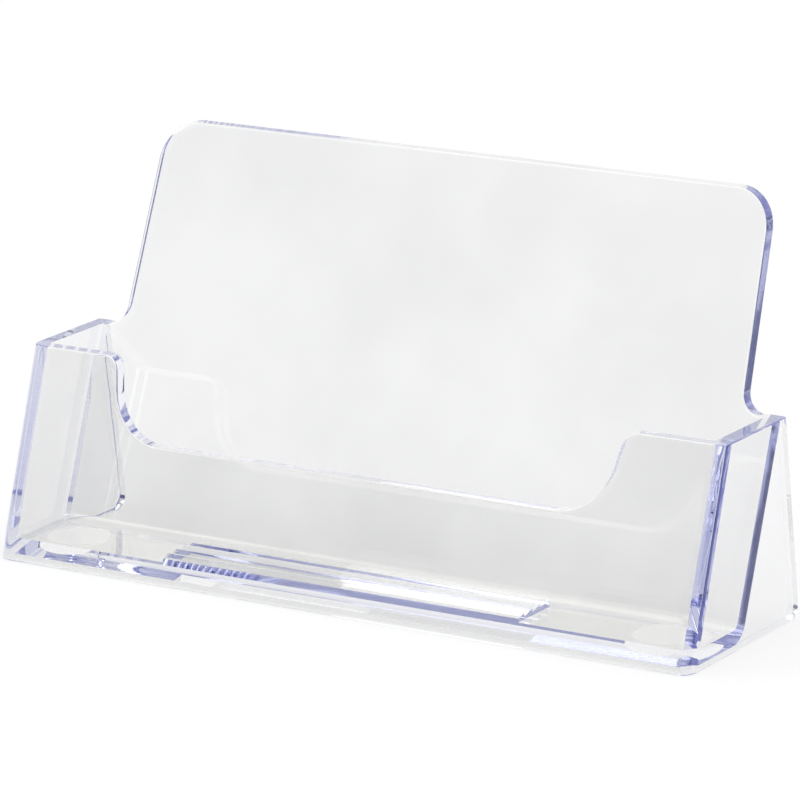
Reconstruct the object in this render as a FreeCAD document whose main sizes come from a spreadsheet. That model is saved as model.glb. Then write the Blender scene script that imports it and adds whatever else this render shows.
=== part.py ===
"""Clear desk holder for business cards, as one parametric document.

Frame: +X is the holder's right as seen from the front, +Y its back, +Z up, in millimetres.
The origin is on the table, in the middle of the holder's width and depth.
Every profile is drawn from the front edge of the foot (y = 0) and moved back by half the depth.
"""
import FreeCAD, Part
import Sketcher
import math
import os

Vector = FreeCAD.Vector

# Driving dimensions: lengths in millimetres, leans and flares in degrees.
SIZES = [
    ("overall_width", "95.0", "across the outer faces of the two end walls"),
    ("end_wall", "2.0", "thickness of an end wall"),
    ("sheet", "1.8", "thickness of the front, floor and back sheets, square to the sheet"),
    ("front_lean", "19.0", "lean of the front wall from upright"),
    ("back_lean", "21.0", "lean of the back panel from upright"),
    ("end_height", "24.6", "height of the end walls and of the front wall's two tabs"),
    ("foot_depth", "26.0", "depth of an end wall where it stands on the table"),
    ("back_height", "48.5", "height of the back panel's top edge above the table"),
    ("floor_lift", "0.4", "underside of the pocket floor above the table"),
    ("pocket_gap", "9.7", "clear depth of the pocket at its floor"),
    ("bend_inner", "1.2", "inside radius of the bend from floor to back"),
    ("back_top_inset", "3.9", "from a pocket end to the back panel's side at its top edge"),
    ("shoulder", "2.9", "width of each shoulder beside the back panel, before rounding"),
    ("back_corner", "4.8", "radius of the back panel's top corners"),
    ("shoulder_round", "2.5", "hollow radius where the back panel meets its shoulders"),
    ("tab_width", "10.7", "width of each tab beside the front cut-out, at its top"),
    ("cut_sill", "15.2", "height of the front cut-out's straight lower edge"),
    ("cut_flare", "12.0", "flare of the cut-out's sides from upright"),
    ("cut_round", "7.0", "hollow radius at the cut-out's lower corners"),
    ("tab_round", "2.0", "radius of each tab's inner top corner"),
    ("front_land", "0.1", "flat front of an end wall beside its rounded upright corner"),
    ("heel_round", "1.8", "radius of the end walls' rear lower corners"),
    ("edge_round", "0.3", "small rounding of the exposed upper edges"),
    ("rib_inset", "21.1", "clear floor between each end of the ribbed block and an end wall"),
    ("rib_base", "0.4", "height of the rib valleys above the floor"),
    ("rib_rise", "0.5", "height of each rib above its valley"),
    ("rib_front", "1.2", "from the front wall to the first rib's crest"),
    ("rib_relief", "0.35", "how far each rib's steep rear face runs back on its way down"),
    ("rib_clearance", "3.1", "clear floor between the last rib and the back panel"),
    ("pad_diameter", "7.6", "diameter of a foot pad"),
    ("pad_inset", "7.1", "from an end wall's outer face to its foot pad's centre"),
    ("pad_setback", "8.2", "from the foot's front edge to a foot pad's centre"),
]
RIB_COUNT = 4
NEAR = 0.01

doc = FreeCAD.newDocument("CardHolder")
sheet = doc.addObject("Spreadsheet::Sheet", "Sizes")
for row, (alias, value, meaning) in enumerate(SIZES, start=1):
    sheet.set(f"A{row}", meaning)
    sheet.set(f"B{row}", value)
    sheet.setAlias(f"B{row}", alias)
doc.recompute()

# Expressions that several pieces share. z is itself an expression for a height above the table.
INNER_WIDTH = "(Sizes.overall_width - 2 * Sizes.end_wall)"
FLOOR_TOP = "(Sizes.floor_lift + Sizes.sheet)"
FRONT_SLOPE = "tan(Sizes.front_lean * 1 deg)"
BACK_SLOPE = "tan(Sizes.back_lean * 1 deg)"


def front_outer(z):
    """Depth of the front wall's outer face at height z."""
    return f"(({z}) * {FRONT_SLOPE})"


def front_inner(z):
    """Depth of the front wall's pocket face at height z."""
    return f"({front_outer(z)} + Sizes.sheet / cos(Sizes.front_lean * 1 deg))"


def back_inner(z):
    """Depth of the back panel's pocket face at height z."""
    return f"({front_inner(FLOOR_TOP)} + Sizes.pocket_gap + (({z}) - {FLOOR_TOP}) * {BACK_SLOPE})"


def back_outer(z):
    """Depth of the back panel's rear face at height z."""
    return f"({back_inner(z)} + Sizes.sheet / cos(Sizes.back_lean * 1 deg))"


DEPTH = back_outer("Sizes.back_height")
BEND_TOP = f"({FLOOR_TOP} + Sizes.bend_inner + Sizes.edge_round)"


def read(expression):
    """Present value of an expression in the sheet's aliases, for finding edges and placing faces."""
    return float(sheet.evalExpression(expression))


def new_body(label):
    """Body that stands half the holder's depth forward of where its profiles are drawn."""
    body = doc.addObject("PartDesign::Body", label)
    body.Label = label
    body.setExpression("Placement.Base.y", f"-({DEPTH}) / 2")
    return body


def origin_plane(body, role):
    return next(f for f in body.Origin.OriginFeatures if f.Role == role)


def outline(body, role, name, loops):
    """Sketch of closed loops on an origin plane.

    Each corner is (across, up) or, if it is rounded, (across, up, radius), all of them expressions.
    """
    sketch = body.newObject("Sketcher::SketchObject", name)
    sketch.AttachmentSupport = [(origin_plane(body, role), "")]
    sketch.MapMode = "FlatFace"
    for corners in loops:
        add_loop(sketch, corners)
    return sketch


def add_loop(sketch, corners):
    count = len(corners)
    points = [Vector(read(corner[0]), read(corner[1]), 0) for corner in corners]
    arrive, middle, leave = [], [], []
    for i, corner in enumerate(corners):
        back = (points[i - 1] - points[i]).normalize()
        ahead = (points[(i + 1) % count] - points[i]).normalize()
        radius = read(corner[2]) if len(corner) == 3 else 0.0
        half = back.getAngle(ahead) / 2
        inward = (back + ahead).normalize() if radius else Vector()
        arrive.append(points[i] + back * (radius / math.tan(half)))
        leave.append(points[i] + ahead * (radius / math.tan(half)))
        middle.append(points[i] + inward * (radius / math.sin(half) - radius))

    first = len(sketch.Geometry)
    for i in range(count):
        sketch.addGeometry(Part.LineSegment(leave[i], arrive[(i + 1) % count]), False)
    for i, corner in enumerate(corners):
        line_in = first + (i - 1) % count
        line_out = first + i
        if len(corner) == 3:
            arc = sketch.addGeometry(Part.Arc(arrive[i], middle[i], leave[i]), False)
            starts_here = sketch.getPoint(arc, 1).distanceToPoint(arrive[i]) < NEAR
            arc_in, arc_out = (1, 2) if starts_here else (2, 1)
            sketch.addConstraint(Sketcher.Constraint("Tangent", line_in, 2, arc, arc_in))
            sketch.addConstraint(Sketcher.Constraint("Tangent", arc, arc_out, line_out, 1))
            bind(sketch, Sketcher.Constraint("Radius", arc, read(corner[2])), corner[2])
            held = sketch.addGeometry(Part.Point(points[i]), True)
            sketch.addConstraint(Sketcher.Constraint("PointOnObject", held, 1, line_in))
            sketch.addConstraint(Sketcher.Constraint("PointOnObject", held, 1, line_out))
        else:
            held = line_out
            sketch.addConstraint(Sketcher.Constraint("Coincident", line_in, 2, line_out, 1))
        bind(sketch, Sketcher.Constraint("DistanceX", -1, 1, held, 1, points[i].x), corner[0])
        bind(sketch, Sketcher.Constraint("DistanceY", -1, 1, held, 1, points[i].y), corner[1])


def bind(sketch, constraint, expression):
    """Add a constraint whose size follows an expression."""
    index = sketch.addConstraint(constraint)
    sketch.setExpression(f"Constraints[{index}]", expression)


def pad(body, sketch, name, length, symmetric=False):
    feature = body.newObject("PartDesign::Pad", name)
    feature.Profile = sketch
    feature.SideType = "Symmetric" if symmetric else "One side"
    feature.setExpression("Length", length)
    doc.recompute()
    return feature


def cut_through(body, sketch, name, reach):
    """Pocket to both sides of the sketch, checked to have taken material away."""
    before = body.Shape.Volume
    feature = body.newObject("PartDesign::Pocket", name)
    feature.Profile = sketch
    feature.SideType = "Symmetric"
    feature.setExpression("Length", reach)
    doc.recompute()
    if not body.Shape.Volume < before:
        raise RuntimeError(f"{name} cut nothing")
    return feature


def round_edges(body, name, radius, wanted):
    """Fillet on every edge whose midpoint, in the body's own frame, passes the test."""
    base = body.Tip
    names = []
    for number, edge in enumerate(base.Shape.Edges, start=1):
        middle = edge.valueAt((edge.FirstParameter + edge.LastParameter) / 2)
        if wanted(middle):
            names.append(f"Edge{number}")
    if not names:
        raise RuntimeError(f"{name} found no edge")
    feature = body.newObject("PartDesign::Fillet", name)
    feature.Base = (base, names)
    feature.setExpression("Radius", radius)
    doc.recompute()
    return feature


def make_leaning_sheet(label, corners, outer, inner, foot, top):
    """Sheet with the given outline seen from the front, between two leaning faces.

    Its rim is rounded except along its foot and its two ends, which meet other pieces.
    """
    body = new_body(label)
    pad(body, outline(body, "XZ_Plane", f"{label}_outline", [corners]), f"{label}_block",
        f"3 * {DEPTH}", symmetric=True)
    below = f"({foot} - Sizes.sheet)"
    above = f"({top} + Sizes.sheet)"
    away = f"(2 * {DEPTH})"
    before_it = [(f"-{away}", below), (outer(below), below), (outer(above), above), (f"-{away}", above)]
    behind_it = [(inner(below), below), (away, below), (away, above), (inner(above), above)]
    faces = outline(body, "YZ_Plane", f"{label}_faces", [before_it, behind_it])
    cut_through(body, faces, f"{label}_sheet", "2 * Sizes.overall_width")
    round_edges(body, f"{label}_rim", "Sizes.edge_round", lambda middle: (
        middle.z > read(foot) + NEAR and inside_ends(middle)
        and (lies_on(outer, middle) or lies_on(inner, middle))))
    return body


def lies_on(face, point):
    """Whether a point is on a leaning face, which gives its depth for a height."""
    return abs(point.y - read(face(f"{point.z:.6f}"))) < NEAR


def inside_ends(point):
    """Whether a point is clear of the end walls."""
    return abs(point.x) < read(INNER_WIDTH) / 2 - NEAR


def mirrored(corners):
    """The same corners on the other side of the middle, in the order that closes the loop."""
    return [(f"-({corner[0]})", *corner[1:]) for corner in reversed(corners)]


def make_front_wall():
    drop = "(Sizes.end_height - Sizes.cut_sill)"
    top_half = f"({INNER_WIDTH} / 2 - Sizes.tab_width)"
    sill_half = f"({top_half} - {drop} * tan(Sizes.cut_flare * 1 deg))"
    # The two rounds on each side of the cut-out share that side's length.
    side = f"({drop} / cos(Sizes.cut_flare * 1 deg))"
    both_rounds = f"({side} / tan((90 - Sizes.cut_flare) / 2 * 1 deg))"
    hollow = f"min(Sizes.cut_round; {both_rounds} - Sizes.tab_round - Sizes.edge_round)"
    right = [
        (f"{INNER_WIDTH} / 2", "0"), (f"{INNER_WIDTH} / 2", "Sizes.end_height"),
        (top_half, "Sizes.end_height", "Sizes.tab_round"),
        (sill_half, "Sizes.cut_sill", hollow)]
    body = make_leaning_sheet("front_wall", right + mirrored(right), front_outer, front_inner,
                              "0", "Sizes.end_height")
    round_edges(body, "front_wall_foot", "Sizes.edge_round", lambda middle: (
        middle.z < NEAR and lies_on(front_outer, middle) and inside_ends(middle)))
    return body


def make_pocket_floor():
    body = new_body("pocket_floor")
    under = "Sizes.floor_lift"
    profile = outline(body, "YZ_Plane", "floor_profile", [[
        (front_inner(under), under), (back_outer(under), under),
        (back_outer(BEND_TOP), BEND_TOP), (back_inner(BEND_TOP), BEND_TOP),
        (back_inner(FLOOR_TOP), FLOOR_TOP), (front_inner(FLOOR_TOP), FLOOR_TOP)]])
    pad(body, profile, "floor_sheet", INNER_WIDTH, symmetric=True)

    inside = Vector(0, read(back_inner(FLOOR_TOP)), read(FLOOR_TOP))
    outside = Vector(0, read(back_outer(under)), read(under))
    round_edges(body, "bend_inside", "Sizes.bend_inner", lambda middle: (
        middle.distanceToPoint(inside) < NEAR))
    round_edges(body, "bend_outside", "Sizes.bend_inner + Sizes.sheet", lambda middle: (
        middle.distanceToPoint(outside) < NEAR))
    return body


def make_back_panel():
    right = [
        (f"{INNER_WIDTH} / 2", BEND_TOP), (f"{INNER_WIDTH} / 2", "Sizes.end_height"),
        (f"{INNER_WIDTH} / 2 - Sizes.shoulder", "Sizes.end_height", "Sizes.shoulder_round"),
        (f"{INNER_WIDTH} / 2 - Sizes.back_top_inset", "Sizes.back_height", "Sizes.back_corner")]
    return make_leaning_sheet("back_panel", right + mirrored(right), back_inner, back_outer,
                              BEND_TOP, "Sizes.back_height")


def make_end_wall(label, outer_side):
    """End plate; outer_side is +1 for the right-hand wall and -1 for the left-hand one."""
    body = new_body(label)
    top = "Sizes.end_height"
    near_face = f"{INNER_WIDTH} / 2" if outer_side > 0 else "-Sizes.overall_width / 2"
    body.setExpression("Placement.Base.x", near_face)
    profile = outline(body, "YZ_Plane", f"{label}_profile", [[
        (front_outer("0"), "0"), ("Sizes.foot_depth", "0"), (back_outer(top), top), (front_outer(top), top)]])
    pad(body, profile, f"{label}_plate", "Sizes.end_wall")

    outer_x = read("Sizes.end_wall") if outer_side > 0 else 0.0
    half_wall = read("Sizes.end_wall") / 2
    heel = Vector(half_wall, read("Sizes.foot_depth"), 0)
    crown = Vector(half_wall, read(back_outer(top)), read(top))
    round_edges(body, f"{label}_front_corner", "Sizes.end_wall - Sizes.front_land", lambda middle: (
        abs(middle.x - outer_x) < NEAR and middle.z > NEAR and lies_on(front_outer, middle)))
    round_edges(body, f"{label}_heel", "Sizes.heel_round", lambda middle: (
        middle.distanceToPoint(heel) < NEAR))
    round_edges(body, f"{label}_crown", "Sizes.edge_round", lambda middle: (
        middle.distanceToPoint(crown) < NEAR))
    round_edges(body, f"{label}_rim", "Sizes.edge_round", lambda middle: (
        abs(middle.x - outer_x) < NEAR and abs(middle.z - read(top)) < NEAR))
    return body


def make_card_ribs():
    body = new_body("card_ribs")
    valley = f"({FLOOR_TOP} + Sizes.rib_base)"
    crest = f"({valley} + Sizes.rib_rise)"
    last_crest = f"({back_inner(FLOOR_TOP)} - Sizes.rib_clearance)"
    pitch = f"((Sizes.pocket_gap - Sizes.rib_front - Sizes.rib_clearance) / {RIB_COUNT - 1})"
    corners = [(front_inner(FLOOR_TOP), FLOOR_TOP), (front_inner(valley), valley)]
    for ribs_behind in reversed(range(RIB_COUNT)):
        crest_depth = f"({last_crest} - {ribs_behind} * {pitch})"
        foot = valley if ribs_behind else FLOOR_TOP
        corners.append((crest_depth, crest))
        corners.append((f"({crest_depth} + Sizes.rib_relief)", foot))
    profile = outline(body, "YZ_Plane", "rib_profile", [corners])
    pad(body, profile, "rib_block", f"{INNER_WIDTH} - 2 * Sizes.rib_inset", symmetric=True)
    return body


def make_foot_pad(label, side):
    """Round pad between the floor's underside and the table."""
    disc = doc.addObject("Part::Cylinder", label)
    disc.Label = label
    disc.setExpression("Radius", "Sizes.pad_diameter / 2")
    disc.setExpression("Height", "Sizes.floor_lift")
    disc.setExpression("Placement.Base.x", f"{side} * (Sizes.overall_width / 2 - Sizes.pad_inset)")
    disc.setExpression("Placement.Base.y", f"Sizes.pad_setback - {DEPTH} / 2")
    return disc


pieces = [
    make_front_wall(),
    make_pocket_floor(),
    make_back_panel(),
    make_end_wall("left_end_wall", -1),
    make_end_wall("right_end_wall", 1),
    make_card_ribs(),
    make_foot_pad("left_foot_pad", -1),
    make_foot_pad("right_foot_pad", 1),
]
doc.recompute()

for item in doc.Objects:
    if "Invalid" in item.State or "Error" in item.State:
        raise RuntimeError(f"{item.Label} did not build: {item.State}")
for piece in pieces:
    if piece.Shape.isNull() or not piece.Shape.isValid() or len(piece.Shape.Solids) != 1:
        raise RuntimeError(f"{piece.Label} is not one valid solid")

os.makedirs("parts", exist_ok=True)
for piece in pieces:
    piece.Shape.exportStep(f"parts/{piece.Label}.step")
    box = piece.Shape.BoundBox
    print(f"{piece.Label}: {piece.Shape.Volume:.1f} mm3, x {box.XMin:.2f} to {box.XMax:.2f}, "
          f"y {box.YMin:.2f} to {box.YMax:.2f}, z {box.ZMin:.2f} to {box.ZMax:.2f}")
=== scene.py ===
"""Looks of a clear desk holder for business cards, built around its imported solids.

Everything is in metres in the solids' own frame: +X right, +Y back, +Z up, z = 0 on the table.
Each solid is replaced by a copy of its own mesh. Where two pieces are bonded, light crosses their
faces as if they weren't there, so that the walls look like one clear moulding.
"""

import math

import bmesh
import bpy
from mathutils import Matrix, Vector
from mathutils.geometry import area_tri, delaunay_2d_cdt


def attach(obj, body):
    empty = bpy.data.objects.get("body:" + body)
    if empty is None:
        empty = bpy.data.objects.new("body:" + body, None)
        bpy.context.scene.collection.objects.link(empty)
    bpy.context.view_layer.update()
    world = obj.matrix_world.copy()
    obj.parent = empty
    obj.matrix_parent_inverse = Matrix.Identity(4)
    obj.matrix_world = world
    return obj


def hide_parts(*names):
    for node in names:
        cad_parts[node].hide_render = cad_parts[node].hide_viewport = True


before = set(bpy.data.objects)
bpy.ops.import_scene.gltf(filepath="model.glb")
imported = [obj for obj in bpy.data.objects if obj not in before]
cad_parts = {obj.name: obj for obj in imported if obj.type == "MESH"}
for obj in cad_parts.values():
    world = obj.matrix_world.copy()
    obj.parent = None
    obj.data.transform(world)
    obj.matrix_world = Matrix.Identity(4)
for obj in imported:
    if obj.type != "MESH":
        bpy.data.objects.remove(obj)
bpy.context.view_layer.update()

MM = 0.001
SCENE = bpy.context.scene

# Camera: where it stands, where it looks and how long its lens is.
CAMERA_PLACE = Vector((0.3378, -0.5268, 0.1913))
CAMERA_YAW = math.radians(32.66)
CAMERA_PITCH = math.radians(15.14)
CAMERA_ROLL = math.radians(-1.11)
LENS_MM = 250.8
NEAREST_SEEN = 0.01

# Clear plastic. Its blue shows along deep paths, most in the back panel and the end walls.
PLASTIC_IOR = 1.56
ABSORB_COLOUR = (0.02, 0.08, 0.66, 1.0)
ABSORB_DENSITY = 4.0
DEEPER_DENSITY = {"back_panel": 8.0, "left_end_wall": 18.0, "right_end_wall": 18.0}

# Ripples left by the mould, in the plastic's surface.
RIPPLE_SCALE = 90.0
RIPPLE_DETAIL = 1.5
RIPPLE_STRENGTH = 0.25
RIPPLE_HEIGHT = 0.05 * MM
RIPPLE_ROUGHNESS = 0.02

# Fine scratches: a noise drawn out along one direction, of which only the peaks are left.
SCRATCH_SEED = 10.0
SCRATCH_SCALE = (900.0, 60.0, 900.0)
SCRATCH_TILT = (0.2, 0.5)
SCRATCH_TURN = 0.9
SCRATCH_DETAIL = 3.0
SCRATCH_SHARPNESS = 6.0
SCRATCH_STRENGTH = 0.15
SCRATCH_HEIGHT = 0.004 * MM
SCRATCH_ROUGHNESS = 0.25

# Cloudy haze, from its dullest place to the clearest.
HAZE_SEED = 20.0
HAZE_SCALE = 38.0
HAZE_DETAIL = 4.0
HAZE_ROUGHNESS = 0.6
HAZE_DULL = (0.38, (0.940, 0.938, 0.917, 1.0))
HAZE_CLEAR = (0.62, (1.0, 0.998, 0.975, 1.0))

# How bonded faces are found and drawn apart.
BOND_GAP = 0.001 * MM
PLANE_STEP = 0.01 * MM
NORMAL_DIGITS = 3
LEAST_AREA = 1e-5     # square millimetres, below which a triangle is only rounding
SHARP_ANGLE = math.radians(32)
FLATS_WEIGHT = 100

# Studio. White is the share of light that a surface throws back.
FLOOR_WHITE = 0.2
BACKDROP_WHITE = 0.1
GRAIN_SCALE = 30.0
GRAIN_DEPTH = 0.01
FLOOR_SIZE = 6.0
BACKDROP_Y = 1.6
BACKDROP_HEIGHT = 2.2
BACKDROP_BEND = 0.5
BEND_STEPS = 12

# The room around: deep blue up to 22 degrees above the horizon and pale from 27, as sines.
ROOM_LOW = (0.37, (0.04, 0.06, 0.26, 1.0))
ROOM_HIGH = (0.45, (0.90, 0.91, 0.93, 1.0))
ROOM_STRENGTH = 0.8

# How often light may turn inside the walls before it is given up as dark.
BOUNCES = 160


# ---------------------------------------------------------------- node helpers

def new_material(name):
    """New material with an empty node tree."""
    material = bpy.data.materials.new(name)
    material.use_nodes = True
    material.node_tree.nodes.clear()
    return material, material.node_tree


def add_node(tree, kind, **values):
    """New shader node, with values for its input sockets; a socket's spaces are underscores here."""
    node = tree.nodes.new(kind)
    for name, value in values.items():
        node.inputs[name.replace("_", " ")].default_value = value
    return node


def maths(tree, operation, *values):
    """Result of a Math node, whose values are numbers or other nodes' outputs."""
    node = tree.nodes.new("ShaderNodeMath")
    node.operation = operation
    for socket, value in zip(node.inputs, values):
        if isinstance(value, (int, float)):
            socket.default_value = value
        else:
            tree.links.new(value, socket)
    return node.outputs[0]


def noise(tree, place, seed, **values):
    """Noise at a place, another one for each seed."""
    node = add_node(tree, "ShaderNodeTexNoise", **values)
    node.noise_dimensions = "4D"
    node.inputs["W"].default_value = seed
    tree.links.new(place, node.inputs["Vector"])
    return node.outputs["Fac"]


def bump(tree, height, strength, distance):
    """Bump node, whose Normal input is still free for a coarser bump."""
    node = add_node(tree, "ShaderNodeBump", Strength=strength, Distance=distance)
    tree.links.new(height, node.inputs["Height"])
    return node


def ramp(tree, factor, low, high):
    """Colour between two stops, each a position and the colour there."""
    node = tree.nodes.new("ShaderNodeValToRGB")
    for stop, (position, colour) in zip(node.color_ramp.elements, (low, high)):
        stop.position = position
        stop.color = colour
    tree.links.new(factor, node.inputs["Fac"])
    return node.outputs["Color"]


# ---------------------------------------------------------------- materials

def clear_plastic(name, seed, density):
    """Polished clear moulding: faint ripples, fine scratches, haze and a blue cast along deep paths.

    Where a face is bonded to a neighbour, its polished attribute is 0 and light crosses it freely.
    """
    material, tree = new_material(name)
    link = tree.links.new
    place = tree.nodes.new("ShaderNodeTexCoord").outputs["Object"]

    ripple = noise(tree, place, seed, Scale=RIPPLE_SCALE, Detail=RIPPLE_DETAIL)
    stretch = add_node(tree, "ShaderNodeMapping", Scale=SCRATCH_SCALE,
                       Rotation=(*SCRATCH_TILT, SCRATCH_TURN + seed))
    link(place, stretch.inputs["Vector"])
    streaks = noise(tree, stretch.outputs["Vector"], seed + SCRATCH_SEED, Scale=1.0,
                    Detail=SCRATCH_DETAIL)
    scratches = maths(tree, "POWER", streaks, SCRATCH_SHARPNESS)

    waves = bump(tree, ripple, RIPPLE_STRENGTH, RIPPLE_HEIGHT)
    lines = bump(tree, scratches, SCRATCH_STRENGTH, SCRATCH_HEIGHT)
    link(waves.outputs["Normal"], lines.inputs["Normal"])

    rough = maths(tree, "ADD", maths(tree, "MULTIPLY", ripple, RIPPLE_ROUGHNESS),
                  maths(tree, "MULTIPLY", scratches, SCRATCH_ROUGHNESS))

    haze = noise(tree, place, seed + HAZE_SEED, Scale=HAZE_SCALE, Detail=HAZE_DETAIL,
                 Roughness=HAZE_ROUGHNESS)

    plastic = add_node(tree, "ShaderNodeBsdfPrincipled", IOR=PLASTIC_IOR, Transmission_Weight=1.0)
    polished = tree.nodes.new("ShaderNodeAttribute")
    polished.attribute_name = "polished"
    link(ramp(tree, haze, HAZE_DULL, HAZE_CLEAR), plastic.inputs["Base Color"])
    link(polished.outputs["Fac"], plastic.inputs["Alpha"])
    link(rough, plastic.inputs["Roughness"])
    link(lines.outputs["Normal"], plastic.inputs["Normal"])

    inside = add_node(tree, "ShaderNodeVolumeAbsorption", Color=ABSORB_COLOUR, Density=density)

    out = tree.nodes.new("ShaderNodeOutputMaterial")
    link(plastic.outputs["BSDF"], out.inputs["Surface"])
    link(inside.outputs["Volume"], out.inputs["Volume"])
    return material


def white_surround(name, white):
    """Matt white of a given share; what it lacks is shown to the eye as light, also through plastic."""
    material, tree = new_material(name)
    path = tree.nodes.new("ShaderNodeLightPath")
    seen = maths(tree, "MAXIMUM", path.outputs["Is Camera Ray"], path.outputs["Is Glossy Ray"])
    seen = maths(tree, "MAXIMUM", seen, path.outputs["Is Transmission Ray"])
    grain = add_node(tree, "ShaderNodeTexNoise", Scale=GRAIN_SCALE)
    tint = maths(tree, "MULTIPLY_ADD", grain.outputs["Fac"], GRAIN_DEPTH, white - GRAIN_DEPTH / 2)
    matt = tree.nodes.new("ShaderNodeBsdfDiffuse")
    tree.links.new(tint, matt.inputs["Color"])
    lift = tree.nodes.new("ShaderNodeEmission")
    tree.links.new(maths(tree, "MULTIPLY", seen, 1.0 - white), lift.inputs["Strength"])
    both = tree.nodes.new("ShaderNodeAddShader")
    tree.links.new(matt.outputs["BSDF"], both.inputs[0])
    tree.links.new(lift.outputs["Emission"], both.inputs[1])
    out = tree.nodes.new("ShaderNodeOutputMaterial")
    tree.links.new(both.outputs["Shader"], out.inputs["Surface"])
    return material


# ---------------------------------------------------------------- bonded faces

def load_node(node):
    """The node's own mesh with its corners joined and every face polished."""
    bm = bmesh.new()
    bm.from_mesh(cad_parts[node].data)
    bmesh.ops.remove_doubles(bm, verts=bm.verts, dist=0.5 * BOND_GAP)
    polished = bm.faces.layers.float.new("polished")
    for face in bm.faces:
        face[polished] = 1.0
    bm.normal_update()
    return bm


def plane_of(face):
    """Key of a flat face's plane; the face that it is bonded to has the opposite key."""
    normal = face.normal
    offset = normal.dot(face.calc_center_median())
    return (*(round(part, NORMAL_DIGITS) for part in normal), round(offset / PLANE_STEP))


def flat_faces(bm):
    """The mesh's faces, grouped by the plane that they lie in."""
    groups = {}
    for face in bm.faces:
        groups.setdefault(plane_of(face), []).append(face)
    return groups


def rim_of(group):
    """Edges along the outline of a group of faces."""
    members = set(group)
    return [edge for face in group for edge in face.edges
            if sum(other in members for other in edge.link_faces) == 1]


def lay_flat(group):
    """Functions from the plane of a group of faces to its own millimetres and back."""
    normal = group[0].normal.copy()
    origin = group[0].verts[0].co.copy()
    across = normal.orthogonal().normalized()
    up = normal.cross(across)

    def flatten(point):
        return Vector(((point - origin).dot(across), (point - origin).dot(up))) / MM

    def raise_up(point):
        return origin + (across * point.x + up * point.y) * MM

    return flatten, raise_up


def is_inside(point, rim):
    """Whether a point of the plane is inside a closed rim of (start, end) corners."""
    crossings = 0
    for start, end in rim:
        if (start.y > point.y) != (end.y > point.y):
            share = (point.y - start.y) / (end.y - start.y)
            crossings += point.x < start.x + share * (end.x - start.x)
    return crossings % 2 == 1


def overlay(group, bonded_rims):
    """Triangles of a flat group, cut along the rims of what is bonded to it, and which are bonded."""
    flatten, raise_up = lay_flat(group)
    own_rim = [tuple(flatten(vert.co) for vert in edge.verts) for edge in rim_of(group)]
    rims = [[(flatten(start), flatten(end)) for start, end in rim] for rim in bonded_rims]
    pairs = own_rim + [pair for rim in rims for pair in rim]
    points = [corner for pair in pairs for corner in pair]
    edges = [(2 * i, 2 * i + 1) for i in range(len(pairs))]
    found = delaunay_2d_cdt(points, edges, [], 0, BOND_GAP / MM)
    corners, triangles = found[0], found[2]
    kept = []
    for triangle in triangles:
        ring = [corners[i] for i in triangle]
        middle = sum(ring, Vector((0.0, 0.0))) / 3
        if area_tri(*ring) > LEAST_AREA and is_inside(middle, own_rim):
            kept.append((triangle, any(is_inside(middle, rim) for rim in rims)))
    return [raise_up(corner) for corner in corners], kept


def split_rim(group, corners):
    """Put the overlay's corners that lie on the group's rim into the rim's edges."""
    rim = rim_of(group)
    for corner in corners:
        for edge in rim:
            start, end = edge.verts[0].co, edge.verts[1].co
            along = end - start
            share = (corner - start).dot(along) / along.length_squared
            near = start + along * share
            margin = BOND_GAP / along.length
            if margin < share < 1 - margin and (near - corner).length < BOND_GAP:
                new_edge, _ = bmesh.utils.edge_split(edge, edge.verts[0], share)
                rim.append(new_edge)
                break


def cut_group(bm, group, bonded_rims):
    """Rebuild a flat group of faces, cut along what is bonded to it, and mark the bonded ones."""
    corners, _ = overlay(group, bonded_rims)
    split_rim(group, corners)
    corners, triangles = overlay(group, bonded_rims)
    normal = group[0].normal.copy()
    old = {vert for edge in rim_of(group) for vert in edge.verts}
    bmesh.ops.delete(bm, geom=group, context="FACES_ONLY")
    verts = []
    for corner in corners:
        nearest = min(old, key=lambda vert: (vert.co - corner).length_squared)
        is_old = (nearest.co - corner).length < 2 * BOND_GAP
        verts.append(nearest if is_old else bm.verts.new(corner))
    polished = bm.faces.layers.float["polished"]
    for triangle, bonded in triangles:
        ring = [verts[i] for i in triangle]
        if len(set(ring)) < 3:
            continue
        face = bm.faces.new(ring)
        face.normal_update()
        if face.normal.dot(normal) < 0:
            face.normal_flip()
        face[polished] = 0.0 if bonded else 1.0


def sink_bonds(bm):
    """Draw each bonded face a hair into its own piece, so that two of them never coincide."""
    polished = bm.faces.layers.float["polished"]
    moves = {}
    for face in bm.faces:
        if not face[polished]:
            normal = tuple(round(part, NORMAL_DIGITS) for part in face.normal)
            for vert in face.verts:
                moves.setdefault(vert, set()).add(normal)
    for vert, normals in moves.items():
        for normal in normals:
            vert.co -= Vector(normal) * BOND_GAP


def drop_loose(bm):
    """Delete the edges and corners that no face holds any more."""
    edges = [edge for edge in bm.edges if not edge.link_faces]
    bmesh.ops.delete(bm, geom=edges, context="EDGES")
    verts = [vert for vert in bm.verts if not vert.link_faces]
    bmesh.ops.delete(bm, geom=verts, context="VERTS")


def mark_edges(bm):
    """Shade the rounded stretches smooth and keep the corners crisp."""
    for face in bm.faces:
        face.smooth = True
    for edge in bm.edges:
        faces = edge.link_faces
        edge.smooth = len(faces) == 2 and faces[0].normal.angle(faces[1].normal, 0.0) < SHARP_ANGLE


# ---------------------------------------------------------------- pieces

def rims_around(node, sources):
    """Rims of all other nodes' flat faces, by the key of the plane that would be bonded to them."""
    rims = {}
    for other, source in sources.items():
        if other != node:
            for key, group in flat_faces(source).items():
                rim = [tuple(vert.co.copy() for vert in edge.verts) for edge in rim_of(group)]
                rims.setdefault(tuple(-part for part in key), []).append(rim)
    return rims


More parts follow.
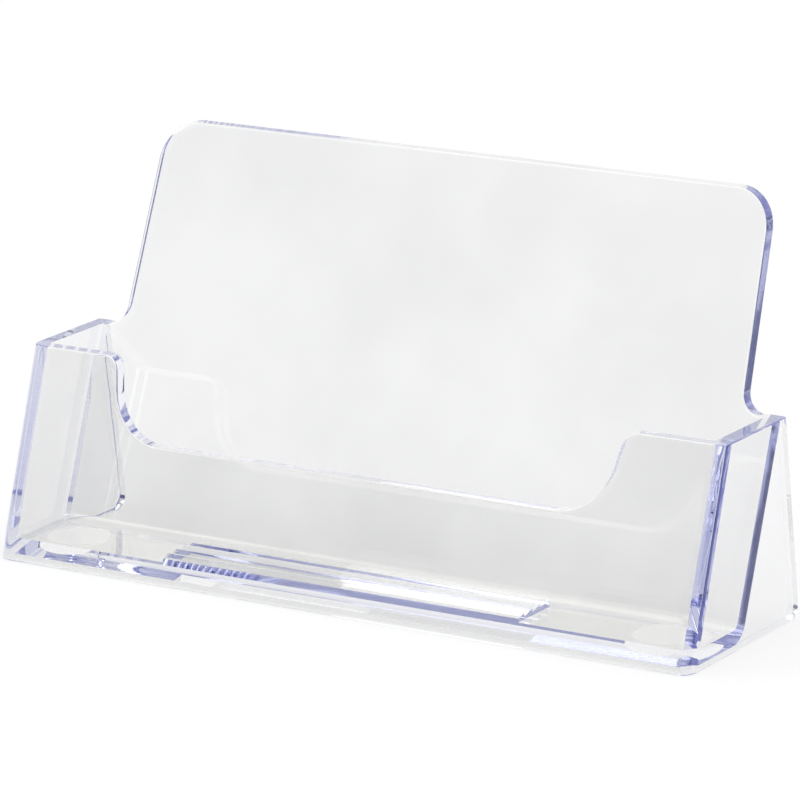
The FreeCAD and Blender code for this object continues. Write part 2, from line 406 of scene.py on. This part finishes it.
def clear_mesh(node, sources):
    """The node's own shape with its bonded faces told apart from its polished ones."""
    bm = load_node(node)
    rims = rims_around(node, sources)
    for key, group in flat_faces(bm).items():
        if key in rims:
            cut_group(bm, group, rims[key])
    drop_loose(bm)
    bm.normal_update()
    sink_bonds(bm)
    mark_edges(bm)
    mesh = bpy.data.meshes.new(f"{node}_clear")
    bm.to_mesh(mesh)
    bm.free()
    return mesh


def clear_piece(node, sources, seed):
    """Piece of clear plastic that stands for a node."""
    mesh = clear_mesh(node, sources)
    density = DEEPER_DENSITY.get(node, ABSORB_DENSITY)
    mesh.materials.append(clear_plastic(f"{node}_plastic", seed, density))
    piece = bpy.data.objects.new(f"{node}_clear", mesh)
    SCENE.collection.objects.link(piece)
    weighted = piece.modifiers.new("true_flats", "WEIGHTED_NORMAL")
    weighted.keep_sharp = True
    weighted.weight = FLATS_WEIGHT
    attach(piece, "root")
    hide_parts(node)


def make_pieces():
    """One piece for each node, each with a seed of its own."""
    names = sorted(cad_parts)
    sources = {node: load_node(node) for node in names}
    for seed, node in enumerate(names):
        clear_piece(node, sources, seed)
    for source in sources.values():
        source.free()


# ---------------------------------------------------------------- studio

def make_sweep():
    """Floor that bends up into a backdrop behind the holder."""
    profile = [(-FLOOR_SIZE / 2, 0.0), (BACKDROP_Y - BACKDROP_BEND, 0.0)]
    for i in range(1, BEND_STEPS + 1):
        turn = math.pi / 2 * i / BEND_STEPS
        profile.append((BACKDROP_Y - BACKDROP_BEND + BACKDROP_BEND * math.sin(turn),
                        BACKDROP_BEND * (1 - math.cos(turn))))
    profile.append((BACKDROP_Y, BACKDROP_HEIGHT))
    half = FLOOR_SIZE / 2
    verts = [(x, y, z) for y, z in profile for x in (-half, half)]
    faces = [(2 * i, 2 * i + 1, 2 * i + 3, 2 * i + 2) for i in range(len(profile) - 1)]
    mesh = bpy.data.meshes.new("sweep")
    mesh.from_pydata(verts, [], faces)
    mesh.polygons.foreach_set("use_smooth", [True] * len(faces))
    mesh.materials.append(white_surround("white_floor", FLOOR_WHITE))
    mesh.materials.append(white_surround("white_backdrop", BACKDROP_WHITE))
    for face in mesh.polygons[1:]:
        face.material_index = 1
    sweep = bpy.data.objects.new("sweep", mesh)
    SCENE.collection.objects.link(sweep)


def soft_light(name, place, target, size, power):
    """Rectangular lamp at a place, turned to a target; power in watts."""
    lamp = bpy.data.lights.new(name, "AREA")
    lamp.shape = "RECTANGLE"
    lamp.size, lamp.size_y = size
    lamp.energy = power
    light = bpy.data.objects.new(name, lamp)
    light.location = place
    light.rotation_euler = (Vector(target) - Vector(place)).to_track_quat("-Z", "Y").to_euler()
    SCENE.collection.objects.link(light)


def make_lights():
    soft_light("overhead", place=(0.0, 0.25, 1.1), target=(0.0, 0.0, 0.0), size=(1.4, 1.0), power=7.5)
    soft_light("left_fill", place=(-1.0, -0.5, 0.7), target=(0.0, 0.0, 0.03), size=(0.8, 0.8), power=3.5)


def make_world():
    """Dim room: deep blue around the table's height, paler overhead."""
    world = bpy.data.worlds.new("studio")
    SCENE.world = world
    world.use_nodes = True
    tree = world.node_tree
    back = tree.nodes["Background"]
    direction = tree.nodes.new("ShaderNodeTexCoord").outputs["Generated"]
    split = tree.nodes.new("ShaderNodeSeparateXYZ")
    tree.links.new(direction, split.inputs["Vector"])
    tree.links.new(ramp(tree, split.outputs["Z"], ROOM_LOW, ROOM_HIGH), back.inputs["Color"])
    back.inputs["Strength"].default_value = ROOM_STRENGTH


def make_camera():
    """Long lens at the photograph's viewing angle; yaw turns from +Y to -X and pitch down."""
    forward = Vector((-math.sin(CAMERA_YAW) * math.cos(CAMERA_PITCH),
                      math.cos(CAMERA_YAW) * math.cos(CAMERA_PITCH), -math.sin(CAMERA_PITCH)))
    right = Vector((math.cos(CAMERA_YAW), math.sin(CAMERA_YAW), 0.0))
    up = right.cross(forward)
    rolled_right = right * math.cos(CAMERA_ROLL) + up * math.sin(CAMERA_ROLL)
    rolled_up = up * math.cos(CAMERA_ROLL) - right * math.sin(CAMERA_ROLL)
    turn = Matrix((rolled_right, rolled_up, -forward)).transposed().to_4x4()
    data = bpy.data.cameras.new("camera")
    data.lens = LENS_MM
    data.clip_start = NEAREST_SEEN
    camera = bpy.data.objects.new("camera", data)
    camera.matrix_world = Matrix.Translation(CAMERA_PLACE) @ turn
    SCENE.collection.objects.link(camera)
    SCENE.camera = camera


make_camera()
make_world()
make_lights()
make_sweep()
make_pieces()

SCENE.view_settings.view_transform = "Standard"
SCENE.cycles.max_bounces = BOUNCES
SCENE.cycles.transmission_bounces = BOUNCES
SCENE.cycles.glossy_bounces = BOUNCES
SCENE.cycles.transparent_max_bounces = BOUNCES
